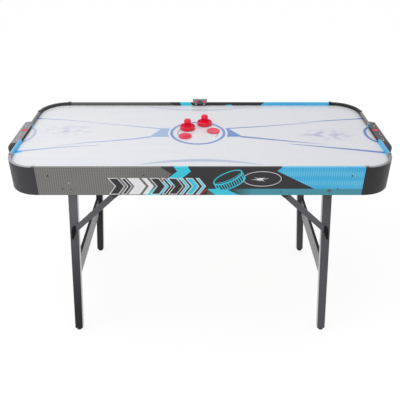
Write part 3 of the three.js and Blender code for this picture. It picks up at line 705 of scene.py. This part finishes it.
def fibre_board(name):
    g = Graph(name, 0.85, 0.2)
    fleck = g.noise(1.4, 4.0)
    tone = g.mix(g.ranged(fleck, 0.35, 0.65), rgb(176, 146, 106), rgb(140, 112, 78))
    g.bump(fleck, 0.15, 0.6)
    return g.paint(tone)


def felt_cloth(name):
    g = Graph(name, 0.95, 0.1)
    fibre = g.noise(0.5, 4.0)
    g.shader.inputs["Sheen Weight"].default_value = 0.6
    g.shader.inputs["Sheen Roughness"].default_value = 0.5
    g.bump(fibre, 0.2, 0.8)
    return g.paint(g.mix(fibre, rgb(34, 34, 36), rgb(66, 66, 70)))


# The label's ends along Y and its outer end along X. It is only on the roof, above these heights.
LABEL_FRONT, LABEL_REAR, LABEL_OUTER = -98, 140, 718
ROOF_START, ROOF_FULL = 740, 745
# Where the slashes start along X, how far they reach, and where the dots are along Y.
LABEL_SLASHES, SLASH_REACH = (683, 694), 10.5
LABEL_DOTS = (-84, -74, -64, -42, -32, -20, 46, 54)


def goal_label(name, sx):
    """Black hood with a printed grey panel on its roof; the left panel's grey is paler than the right's as a
    painted reflection.
    """
    p = Print(name, "YX", 0.4, 0.45)
    plastic = p.mix(p.noise(45, 3.0), rgb(62, 61, 65), rgb(48, 47, 50))
    # Painted reflection: the left panel's grey is far paler than the right's.
    grey, dark = (rgb(164, 158, 162), rgb(142, 136, 140)) if sx < 0 else (rgb(78, 72, 76), rgb(66, 60, 64))
    marked = grid(p, p.mix(p.noise(30, 2.0), grey, dark), 0.3)
    for near in LABEL_SLASHES:
        far = near + SLASH_REACH
        slash = p.poly([(-3, sx * near), (13, sx * near), (18, sx * far), (2, sx * far)])
        marked = p.lay(marked, slash, RED)
    for number, y in enumerate(LABEL_DOTS):
        dot = p.ellipse((y, sx * (698 + 4 * (number % 2))), (3.6, 2.2))
        marked = p.lay(marked, dot, rgb(206, 202, 206), 0.5, 0.8)
    zone = p.smallest([p.half(1, 0, LABEL_FRONT), p.half(-1, 0, -LABEL_REAR), p.half(0, -sx, -LABEL_OUTER)])
    above = p.ranged(p.place("Z"), ROOF_START, ROOF_FULL)
    roof = p.math("MULTIPLY", p.ranged(p.normal("Z"), 0.5, 0.75), above)
    p.moulded_grain(0.34, 0.5)
    return p.paint(p.mix(p.math("MULTIPLY", p.ranged(zone, -0.3, 0.3), roof), plastic, marked))


def scorer_paint():
    """Grey-green above the board's edge with a dark window, black below it."""
    p = Print("scorer_plastic", "XZ", 0.5, 0.4)
    shell = p.mix(p.noise(20, 3.0), rgb(140, 146, 140), rgb(112, 122, 116))
    color = p.lay(shell, p.rect((-22, 792.8), (22, 802.6)), rgb(96, 106, 98))
    color = p.lay(color, p.rect((-6, 793.2), (6, 802.4)), rgb(84, 78, 92))
    color = p.lay(color, p.ellipse((0, 797.6), (2.6, 3.8)), rgb(48, 42, 62), 0.4)
    color = p.lay(color, p.half(0, -1, -790.6), rgb(34, 34, 36))
    p.vary_roughness(p.noise(8, 3.0), 0.42, 0.56)
    p.bump(p.noise(0.9, 2.0), 0.05, 0.5)
    return p.paint(color)


# How far the black upper end reaches from the brace's screw.
BLACK_END_REACH = 85.2


def brace_paint(name, pivot):
    """Coated steel, black over its upper end near the screw."""
    p = Print(name, "XZ", 0.4, 0.5)
    steel = p.mix(p.noise(60, 2.0), rgb(84, 82, 88), rgb(72, 71, 76))
    from_pivot = p.vector("SUBTRACT", p.mm, (pivot[0] / MM, 0, pivot[2] / MM))
    away = p.vector("LENGTH", p.vector("MULTIPLY", from_pivot, (1, 0, 1)))
    black_end = p.math("SUBTRACT", BLACK_END_REACH, away)
    p.bump(p.noise(2.4, 2.0), 0.04, 0.5)
    p.vary_roughness(p.noise(9, 3.0), 0.32, 0.48)
    return p.paint(p.lay(steel, black_end, rgb(26, 26, 28)))


def glowing(name, color, strength):
    """A lit figure's plastic."""
    g = Graph(name, 0.3, 0.5)
    g.shader.inputs["Emission Color"].default_value = color
    g.shader.inputs["Emission Strength"].default_value = strength
    return g.paint(g.mix(g.noise(1.0, 2.0), color, darker(color, 0.8)))


# Each side's colour, the left lighter than the right as painted light, and the painted highlight colour of
# the top lip of its front and of its rear corner.
CORNER_LOOK = {"left": (rgb(58, 58, 63), {"front": rgb(176, 176, 182), "rear": rgb(88, 88, 93)}),
               "right": (rgb(40, 39, 42), {"front": rgb(152, 152, 156), "rear": rgb(64, 62, 66)})}
CORNER = {}
for side, (color, lip_highlights) in CORNER_LOOK.items():
    for row, sy in ROWS.items():
        name = f"corner_{row}_{side}_plastic"
        # Painted highlight: only the front corners' faces towards the field are given it.
        inner_highlight = 1.0 if row == "front" else 0.0
        CORNER[row, side] = corner_plastic(name, color, lip_highlights[row], SIDES[side], sy, inner_highlight)
BLACK_PLASTIC = moulded("black_plastic", rgb(28, 28, 30), 0.4)
LEVER_PLASTIC = moulded("lever_plastic", rgb(12, 12, 13), 0.5, specular=0.12)
SWITCH_PLASTIC = moulded("switch_plastic", rgb(150, 148, 152), 0.45)
ROCKER_PLASTIC = moulded("rocker_plastic", rgb(172, 168, 176), 0.4)
FAN_PLASTIC = moulded("fan_plastic", rgb(26, 26, 28), 0.5)
SCORER_PLASTIC = scorer_paint()
BUTTON_PLASTIC = moulded("button_plastic", rgb(158, 166, 160), 0.45)
LENS = moulded("display_lens", rgb(196, 30, 66), 0.2, 3.0)
DIGIT = glowing("display_digit", rgb(255, 34, 96), 1.3)
# Each leg's tone at its foot and at its top, as painted shade. The legs differ from each other only by
# painted light and shade.
LEG_SHADE_TONES = {("front", "left"): (rgb(34, 34, 37), rgb(112, 110, 116)),
             ("front", "right"): (rgb(88, 87, 91), rgb(86, 85, 89)),
             ("rear", "left"): (rgb(46, 46, 49), rgb(54, 54, 57)),
             ("rear", "right"): (rgb(74, 73, 77), rgb(72, 71, 75))}
LEG_PAINT_AND_SHADE = {(row, side): coated_steel(f"leg_paint_and_shade_{row}_{side}", *tones)
             for (row, side), tones in LEG_SHADE_TONES.items()}
PANEL_GREY = melamine("panel_grey", rgb(160, 157, 164))
PANEL_EDGE = moulded("panel_edge", rgb(30, 30, 32), 0.55)
ZINC = bright_metal("zinc", rgb(150, 150, 154), 0.34)
BOLT = {"left": moulded("bolt_left_coat", rgb(132, 131, 128), 0.4),
        "right": moulded("bolt_right_coat", rgb(106, 88, 86), 0.4)}
SCREW = {"left": moulded("screw_left_coat", rgb(66, 60, 62), 0.4), "right": BOLT["right"]}
MOTOR = bright_metal("motor_steel", rgb(96, 96, 100), 0.4)
FIBRE = fibre_board("fibre_board")
FELT = felt_cloth("felt")
PUSHER_RED = moulded("pusher_red", rgb(236, 10, 58), 0.34, 3.0, 0.4, coat=0.15)
PUCK_RED = moulded("puck_red", rgb(244, 54, 90), 0.3, 3.0, 0.5, coat=0.2)


# ---- CAD nodes that stay: welded, edges rounded, a finish each ----
WELD_GAP = 0.01


def finish_node(name, material, round_mm):
    """Gives a CAD node its material. Modifiers weld it, join its flat faces and round its edges."""
    node = NODES[name]
    node.data.materials.clear()
    node.data.materials.append(material)
    node.data.polygons.foreach_set("material_index", [0] * len(node.data.polygons))
    node.data.polygons.foreach_set("use_smooth", [True] * len(node.data.polygons))
    weld = node.modifiers.new("weld", "WELD")
    weld.merge_threshold = WELD_GAP * MM
    flat = node.modifiers.new("flat", "DECIMATE")
    flat.decimate_type = "DISSOLVE"
    flat.angle_limit = math.radians(1.0)
    if round_mm:
        bevel = node.modifiers.new("edges", "BEVEL")
        bevel.width = round_mm * MM
        bevel.segments = 3
        bevel.limit_method = "ANGLE"
        bevel.angle_limit = math.radians(32)
        bevel.harden_normals = True
    shading = node.modifiers.new("normals", "WEIGHTED_NORMAL")
    shading.keep_sharp = True


finish_node("front_board", side_print("front_print", 1), 0.8)
finish_node("rear_board", side_print("rear_print", -1), 0.8)
for side, sx in SIDES.items():
    finish_node(f"{side}_end_board", end_print(f"{side}_end_print", sx), 0.8)
    finish_node(f"goal_box_{side}", goal_label(f"goal_{side}_label", sx), 0.8)
    finish_node(f"scorer_display_{side}", LENS, 0.3)
    finish_node(f"scorer_button_{side}", BUTTON_PLASTIC, 0.5)
    finish_node(f"batten_{side}", FIBRE, 0.4)
    for row in ROWS:
        finish_node(f"corner_{row}_{side}", CORNER[row, side], 1.0)
        finish_node(f"lock_lever_{row}_{side}", LEVER_PLASTIC, 0.6)
        pivot = JOINTS[f"brace_{row}_{side}_swing"]["pos_m"]
        finish_node(f"brace_{row}_{side}", brace_paint(f"brace_{row}_{side}_paint", pivot), 0.4)
        finish_node(f"brace_screw_{row}_{side}", ZINC, 0.4)
for row in ROWS:
    finish_node(f"batten_{row}", FIBRE, 0.4)
finish_node("playfield", field_print(), 0.3)
finish_node("chamber_panel", FIBRE, 0.3)
finish_node("fan_housing", FAN_PLASTIC, 1.0)
finish_node("fan_impeller", FAN_PLASTIC, 0.3)
finish_node("fan_motor", MOTOR, 0.5)
finish_node("fan_guard", ZINC, 0.0)
finish_node("switch_housing", SWITCH_PLASTIC, 0.5)
finish_node("switch_rocker", ROCKER_PLASTIC, 0.4)
finish_node("power_jack", BLACK_PLASTIC, 0.4)
finish_node("scorer_housing", SCORER_PLASTIC, 0.3)


# ---- Mesh code ----
def add_piece(name, mesh, materials, body, replaces=()):
    """Adds a closed mesh, in the table's frame, that rides on a body and may replace CAD nodes."""
    bmesh.ops.recalc_face_normals(mesh, faces=mesh.faces)
    data = bpy.data.meshes.new(name)
    mesh.to_mesh(data)
    mesh.free()
    for material in materials:
        data.materials.append(material)
    piece = bpy.data.objects.new(name, data)
    bpy.context.scene.collection.objects.link(piece)
    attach(piece, body)
    if replaces:
        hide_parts(*replaces)
    return piece


def smooth_by_angle(piece, degrees=35):
    """Smooth shading that keeps the sharp edges sharp."""
    data = piece.data
    mesh = bmesh.new()
    mesh.from_mesh(data)
    for face in mesh.faces:
        face.smooth = True
    for edge in mesh.edges:
        edge.smooth = len(edge.link_faces) == 2 and edge.calc_face_angle() < math.radians(degrees)
    mesh.to_mesh(data)
    mesh.free()


def round_edges(mesh, radius, steps):
    """Rounds every edge of a mesh."""
    edges = mesh.edges[:]
    bmesh.ops.bevel(mesh, geom=edges, offset=radius * MM, segments=steps, profile=0.5, affect="EDGES")


def add_rings(mesh, profile, sides):
    """A ring of vertices about Z for each radius and height, or one vertex where the radius is none."""
    turns = [2 * math.pi * i / sides for i in range(sides)]
    rings = []
    for radius, height in profile:
        places = [(0, 0, height)]
        if radius:
            places = [(radius * math.cos(t), radius * math.sin(t), height) for t in turns]
        rings.append([mesh.verts.new(place) for place in places])
    return rings


def join_rings(mesh, rings):
    """Faces between each ring and the next. A ring of one vertex closes the end."""
    sides = max(len(ring) for ring in rings)
    for low, high in zip(rings, rings[1:]):
        for i in range(sides):
            j = (i + 1) % sides
            if len(low) == 1:
                mesh.faces.new((low[0], high[i], high[j]))
            elif len(high) == 1:
                mesh.faces.new((low[i], low[j], high[0]))
            else:
                mesh.faces.new((low[i], low[j], high[j], high[i]))


def lathe(profile, sides):
    """A closed solid of revolution about Z. The profile runs from the axis back to it, in mm."""
    mesh = bmesh.new()
    join_rings(mesh, add_rings(mesh, [(radius * MM, height * MM) for radius, height in profile], sides))
    return mesh


def curve_through(points, steps=6):
    """Points on a Catmull-Rom curve through the given ones."""
    result = []
    for i in range(len(points) - 1):
        before, after = points[max(i - 1, 0)], points[min(i + 2, len(points) - 1)]
        for step in range(steps):
            t = step / steps
            place = []
            for a, b, c, d in zip(before, points[i], points[i + 1], after):
                square, cube = 2 * a - 5 * b + 4 * c - d, 3 * b - a - 3 * c + d
                place.append(0.5 * (2 * b + (c - a) * t + square * t * t + cube * t ** 3))
            result.append(tuple(place))
    result.append(tuple(points[-1]))
    return result


# ---- Pushers and pucks ----
# Outlines as radius and height, from the middle of the foot to the middle of the top.
PUSHER_FOOT = [(0, 0), (27.6, 0), (29, 0.3), (29.8, 1.1), (30, 2.2)]
PUSHER_RIM = [(30, 10.6), (29.7, 12.0), (28.9, 12.9), (27.8, 13.2), (26.6, 12.9), (25.9, 12.0)]
PUSHER_DISH = [(25.4, 10.6), (23.6, 6.6), (20.5, 5.1), (16.6, 5.0), (13.6, 6.4), (11.8, 9.6), (11.0, 14.5),
               (11.5, 21), (13.3, 26.4), (14.2, 31), (13.2, 35.8), (10.2, 39.2), (5.6, 41.0), (0, 41.4)]
PUCK_EDGE = [(0, 0), (23.8, 0), (25.0, 0.5), (25.5, 1.5), (25.5, 3.5), (25.0, 4.5), (23.8, 5.0), (21.2, 5.0),
             (20.4, 4.6), (0, 4.6)]
LATHE_SIDES = 72


def place_lathe(node, profile, material):
    """A turned red piece in the place of a CAD node that has a body of its own, with the same name."""
    low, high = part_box(node)
    mesh = lathe(profile, LATHE_SIDES)
    bmesh.ops.translate(mesh, verts=mesh.verts, vec=((low.x + high.x) / 2, (low.y + high.y) / 2, low.z))
    smooth_by_angle(add_piece(f"{node}_body", mesh, [material], node, [node]))


PUSHER = PUSHER_FOOT + PUSHER_RIM + curve_through(PUSHER_DISH)
for side in SIDES:
    place_lathe(f"pusher_{side}", PUSHER, PUSHER_RED)
    place_lathe(f"puck_{side}", PUCK_EDGE, PUCK_RED)
    finish_node(f"pusher_{side}_felt", FELT, 0.2)


# ---- Leg frames ----
HINGE = JOINTS["fold_right"]["pos_m"]
SCREW_AXIS = JOINTS["foot_front_right_screw"]["axis"]
SPLAY = math.atan2(abs(SCREW_AXIS[0]), abs(SCREW_AXIS[2]))
# A leg's half width and wall, how far it rises past the hinge, its axis along Y, and its lower end's height.
LEG_HALF = 16
LEG_WALL = 1.6
LEG_HEAD = 16.0
LEG_MID_Y = 279
LEG_END_Z = 15.5
# The panel's height above the floor, its size, its inner face outwards from the legs' axes, and its edges.
PANEL_Z = 268
PANEL_H = 97
PANEL_T = 12
PANEL_OFFSET = 3.5
PANEL_ROUND = 1.4
PANEL_REACH = LEG_MID_Y - LEG_HALF - 0.4
LEG_LENGTH = (HINGE[2] / MM - LEG_END_Z) / math.cos(SPLAY)


def frame_matrix(sx, sy=0):
    """From a leg frame's axes, with the hinge at zero and the legs along -Z, to the table's frame."""
    move = Matrix.Translation((sx * HINGE[0], sy * LEG_MID_Y * MM, HINGE[2]))
    return move @ Matrix.Rotation(-sx * SPLAY, 4, "Y")


def rounded_square(half, radius, steps=5):
    """The points round a square with rounded corners, half its width from its middle."""
    points = []
    for quarter in range(4):
        start = quarter * math.pi / 2
        cx = (half - radius) * (1 if quarter in (0, 3) else -1)
        cy = (half - radius) * (1 if quarter in (0, 1) else -1)
        for step in range(steps + 1):
            angle = start + step * math.pi / 2 / steps
            points.append((cx + radius * math.cos(angle), cy + radius * math.sin(angle)))
    return points


def leg_mesh():
    """A square tube with rounded corners, open at its top, with a plug in its foot."""
    mesh = bmesh.new()
    sections = [(LEG_HALF - 0.6, 3.6, -LEG_LENGTH), (LEG_HALF, 4.0, -LEG_LENGTH + 0.6),
                (LEG_HALF, 4.0, LEG_HEAD - 0.4), (LEG_HALF - 0.3, 3.8, LEG_HEAD),
                (LEG_HALF - LEG_WALL, 2.4, LEG_HEAD), (LEG_HALF - LEG_WALL, 2.4, -LEG_LENGTH + 4)]
    rings = [[mesh.verts.new((x * MM, y * MM, z * MM)) for x, y in rounded_square(half, radius)]
             for half, radius, z in sections]
    join_rings(mesh, rings)
    mesh.faces.new(rings[0])
    mesh.faces.new(rings[-1])
    return mesh


def panel_mesh(sx):
    """The cross panel: grey faces, black banding on its edges."""
    mesh = bmesh.new()
    distance = (HINGE[2] / MM - PANEL_Z) / math.cos(SPLAY)
    place = (sx * (PANEL_OFFSET + PANEL_T / 2) * MM, 0, -distance * MM)
    bmesh.ops.create_cube(mesh, size=1)
    bmesh.ops.scale(mesh, verts=mesh.verts, vec=(PANEL_T * MM, 2 * PANEL_REACH * MM, PANEL_H * MM))
    bmesh.ops.translate(mesh, verts=mesh.verts, vec=place)
    round_edges(mesh, PANEL_ROUND, 4)
    for face in mesh.faces:
        face.material_index = 0 if abs(face.normal.x) > 0.98 else 1
    return mesh


for side, sx in SIDES.items():
    mesh = panel_mesh(sx)
    mesh.transform(frame_matrix(sx))
    panel = add_piece(f"panel_{side}", mesh, [PANEL_GREY, PANEL_EDGE], f"leg_frame_{side}",
                      [f"cross_panel_{side}"])
    smooth_by_angle(panel, 50)
    for row, sy in ROWS.items():
        mesh = leg_mesh()
        mesh.transform(frame_matrix(sx, sy))
        leg = add_piece(f"tube_{row}_{side}", mesh, [LEG_PAINT_AND_SHADE[row, side]], f"leg_frame_{side}",
                        [f"leg_{row}_{side}"])
        smooth_by_angle(leg, 40)
        finish_node(f"foot_{row}_{side}", BLACK_PLASTIC, 0.3)


# ---- Bolts and screws ----
def screw_head(radius, height, socket_radius, socket_depth, sides=40):
    """A domed head on Z with a six-sided recess."""
    profile = [(0, 0), (radius * 0.96, 0), (radius, height * 0.2), (radius * 0.97, height * 0.55),
               (radius * 0.8, height * 0.9), (radius * 0.62, height)]
    mesh = bmesh.new()
    rings = add_rings(mesh, profile, sides)
    floor_z = height - socket_depth
    for z in (height, floor_z):
        ring = []
        for i in range(sides):
            angle = 2 * math.pi * i / sides
            near = (angle % (math.pi / 3)) - math.pi / 6
            r = socket_radius * math.cos(math.pi / 6) / math.cos(near)
            ring.append(mesh.verts.new((r * math.cos(angle), r * math.sin(angle), z)))
        rings.append(ring)
    rings.append([mesh.verts.new((0, 0, floor_z))])
    join_rings(mesh, rings)
    return mesh


def facing(sy, x, y, z):
    """Turns +Z to point along sy times Y, at a place in mm."""
    turn = Matrix.Rotation(-sy * math.pi / 2, 4, "X")
    return Matrix.Translation((x * MM, y * MM, z * MM)) @ turn @ Matrix.Scale(MM, 4)


SCREW_HEAD = {"radius": 3.2, "height": 1.0, "socket_radius": 1.5, "socket_depth": 0.7}
# The side boards' outer faces are this far from the middle, and the heads are sunk a little into them.
SIDE_FACE_Y = 312
HEAD_SUNK = 0.2
# Each screw's X and Z.
BOARD_SCREWS = [(-529, 757.5), (-484, 705.5), (-195.3, 759.1), (286.6, 693.2), (484, 705.5), (529, 757.5)]
for side in SIDES:
    for row in ROWS:
        finish_node(f"hinge_bolt_{row}_{side}", BOLT[side], 0.6)
for row, sy in ROWS.items():
    for number, (x, z) in enumerate(BOARD_SCREWS):
        mesh = screw_head(**SCREW_HEAD)
        mesh.transform(facing(sy, x, sy * (SIDE_FACE_Y - HEAD_SUNK), z))
        coat = SCREW["left" if x < 0 else "right"]
        smooth_by_angle(add_piece(f"board_screw_{row}_{number}", mesh, [coat], "table_top"))


# ---- Scorer's digits ----
DIGIT_WIDE, DIGIT_TALL = 4.4, 7.2
DIGIT_BAR, DIGIT_DEEP, DIGIT_ROUND = 1.5, 0.3, 0.12
DIGIT_PROUD = 0.12


def digit_mesh():
    """The seven-segment figure 0, as six bars."""
    mesh = bmesh.new()
    wide, tall, bar = DIGIT_WIDE, DIGIT_TALL, DIGIT_BAR
    bars = [(0, tall / 2, wide - bar, bar), (0, -tall / 2, wide - bar, bar)]
    bars += [(sx * wide / 2, sz * tall / 4, bar, tall / 2 - bar) for sx in (-1, 1) for sz in (-1, 1)]
    for x, z, width, height in bars:
        made = bmesh.ops.create_cube(mesh, size=1)["verts"]
        bmesh.ops.scale(mesh, verts=made, vec=(width * MM, DIGIT_DEEP * MM, height * MM))
        bmesh.ops.translate(mesh, verts=made, vec=(x * MM, 0, z * MM))
    round_edges(mesh, DIGIT_ROUND, 2)
    return mesh


for side in SIDES:
    low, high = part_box(f"scorer_display_{side}")
    mesh = digit_mesh()
    place = ((low.x + high.x) / 2, low.y - DIGIT_PROUD * MM, (low.z + high.z) / 2)
    bmesh.ops.translate(mesh, verts=mesh.verts, vec=place)
    add_piece(f"scorer_digit_{side}", mesh, [DIGIT], "table_top")
